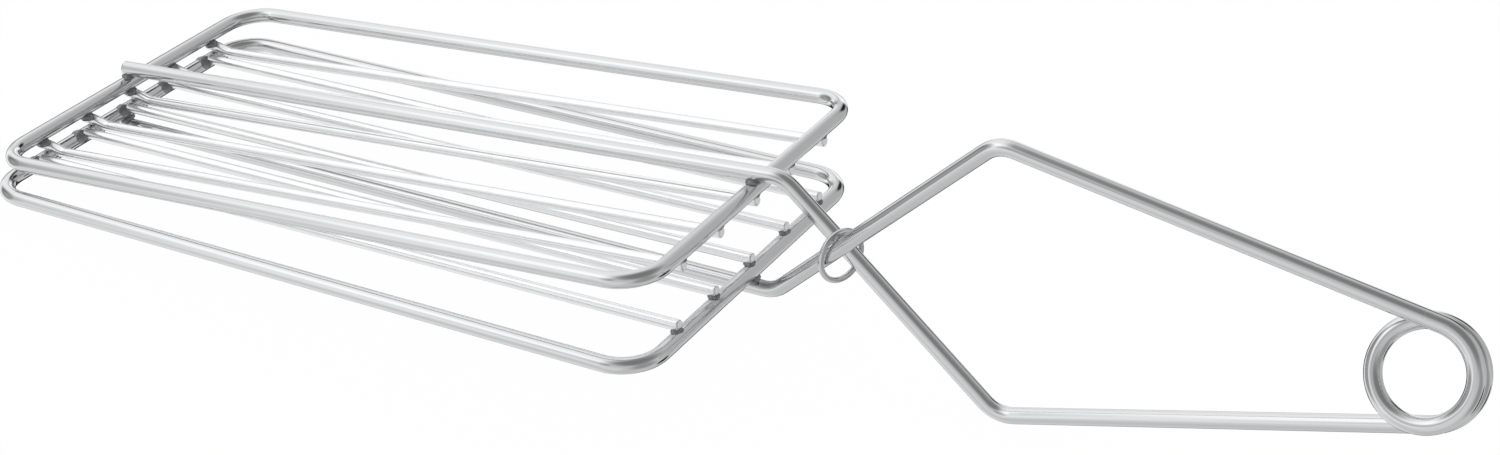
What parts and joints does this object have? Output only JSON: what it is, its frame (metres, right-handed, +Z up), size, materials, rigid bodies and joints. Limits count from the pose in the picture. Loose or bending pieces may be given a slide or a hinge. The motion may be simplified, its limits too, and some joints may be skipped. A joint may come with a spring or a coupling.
{
  "type": "wire toasting tongs",
  "caption": "Sprung wire tongs with two facing rectangular wire grids, a crossed handle and a coil that closes the jaws, for toasting bread or a sandwich.",
  "frame": {"origin": "middle of the bounding box's base, on the table that the tongs lie on", "axes": "+X from the tips of the jaws toward the coil, +Y across the jaws away from the pictured side, +Z up"},
  "size_m": [0.3757, 0.1104, 0.077],
  "materials": {
    "bar_wire": "bright, with faint drawing marks",
    "grid_wire": "bright, with faint drawing marks",
    "ring_wire": "bright"
  },
  "bodies": {
    "lower_jaw": {"lower_frame": "bar_wire", "lower_grid_wire_1": "grid_wire", "lower_grid_wire_2": "grid_wire", "lower_grid_wire_3": "grid_wire", "lower_grid_wire_4": "grid_wire", "lower_grid_wire_5": "grid_wire", "lower_jaw_arm": "bar_wire", "spring_coil": "bar_wire"},
    "upper_jaw": {"upper_frame": "bar_wire", "upper_grid_wire_1": "grid_wire", "upper_grid_wire_2": "grid_wire", "upper_grid_wire_3": "grid_wire", "upper_grid_wire_4": "grid_wire", "upper_grid_wire_5": "grid_wire", "upper_jaw_arm": "bar_wire"},
    "ring": {"crossing_ring": "ring_wire"}
  },
  "joints": [
    {"name": "jaw_opening", "type": "hinge", "parent": "lower_jaw", "child": "upper_jaw", "pos_m": [0.17461, 0, 0.04986], "axis": [0, 1, 0], "range_deg": [0, 15], "stiffness_Nm_per_rad": 8, "springref_deg": -3.44},
    {"name": "ring_follow", "type": "hinge", "parent": "lower_jaw", "child": "ring", "pos_m": [0.17876, 0, -0.07013], "axis": [0, 1, 0], "range_deg": [0, 7.5]}
  ],
  "couplings": [
    {"joint": "ring_follow", "follows": "jaw_opening", "ratio": 0.5}
  ]
}
